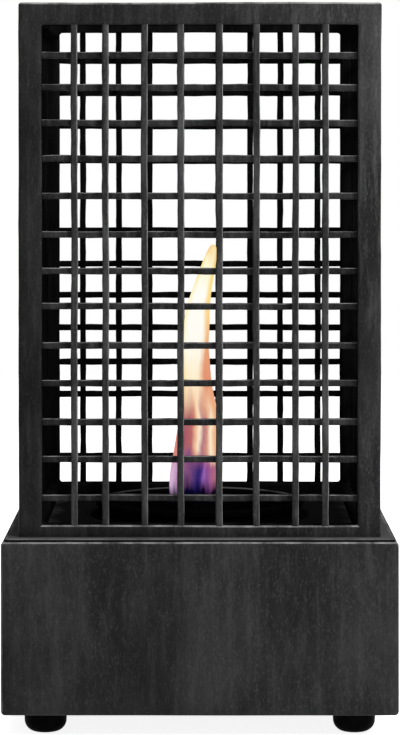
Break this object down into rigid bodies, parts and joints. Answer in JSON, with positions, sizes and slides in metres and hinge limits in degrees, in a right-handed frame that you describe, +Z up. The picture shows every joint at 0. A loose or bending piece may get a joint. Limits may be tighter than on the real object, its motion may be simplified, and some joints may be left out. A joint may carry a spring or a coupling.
{
  "type": "tabletop fireplace",
  "caption": "Gel-fuel tabletop fireplace: open lattice tower of welded square bars over a round fuel bowl in a square steel base on rubber feet.",
  "frame": {"origin": "on the table, under the middle of the base", "axes": "+Z up, the front faces -Y, +X to the right of someone who faces the front"},
  "size_m": [0.27, 0.27, 0.4995],
  "materials": {
    "base_steel": "hand-brushed dark grey coating",
    "tower_steel": "hand-brushed dark grey coating",
    "foot_rubber": "matt black",
    "zinc_steel": "zinc plated",
    "black_enamel": "satin black",
    "tinplate": "bare tinplate",
    "fuel_gel": "wet gel"
  },
  "bodies": {
    "base": {"base_shell": "base_steel", "base_top_plate": "base_steel", "bowl_collar": "black_enamel", "foot_front_left": "foot_rubber", "foot_front_right": "foot_rubber", "foot_back_left": "foot_rubber", "foot_back_right": "foot_rubber", "foot_screws": "zinc_steel", "foot_washers": "zinc_steel", "foot_nuts": "zinc_steel"},
    "tower": {"post_front_left": "tower_steel", "post_front_right": "tower_steel", "post_back_left": "tower_steel", "post_back_right": "tower_steel", "post_caps": "tower_steel", "locating_pins": "tower_steel", "bottom_rail_front": "tower_steel", "top_rail_front": "tower_steel", "front_upright_bars": "tower_steel", "front_crossbars": "tower_steel", "bottom_rail_back": "tower_steel", "top_rail_back": "tower_steel", "back_upright_bars": "tower_steel", "back_crossbars": "tower_steel", "bottom_rail_left": "tower_steel", "top_rail_left": "tower_steel", "left_upright_bars": "tower_steel", "left_crossbars": "tower_steel", "bottom_rail_right": "tower_steel", "top_rail_right": "tower_steel", "right_upright_bars": "tower_steel", "right_crossbars": "tower_steel"},
    "bowl": {"fuel_bowl": "black_enamel"},
    "can": {"can_body": "tinplate", "can_bottom": "tinplate", "can_top_ring": "tinplate", "fuel_gel": "fuel_gel"}
  },
  "joints": [
    {"name": "tower_lift", "type": "slide", "parent": "base", "child": "tower", "axis": [0, 0, 1], "range_m": [0, 0.15]},
    {"name": "bowl_lift", "type": "slide", "parent": "base", "child": "bowl", "axis": [0, 0, 1], "range_m": [0, 0.115]},
    {"name": "can_lift", "type": "slide", "parent": "bowl", "child": "can", "axis": [0, 0, 1], "range_m": [0, 0.11]}
  ]
}
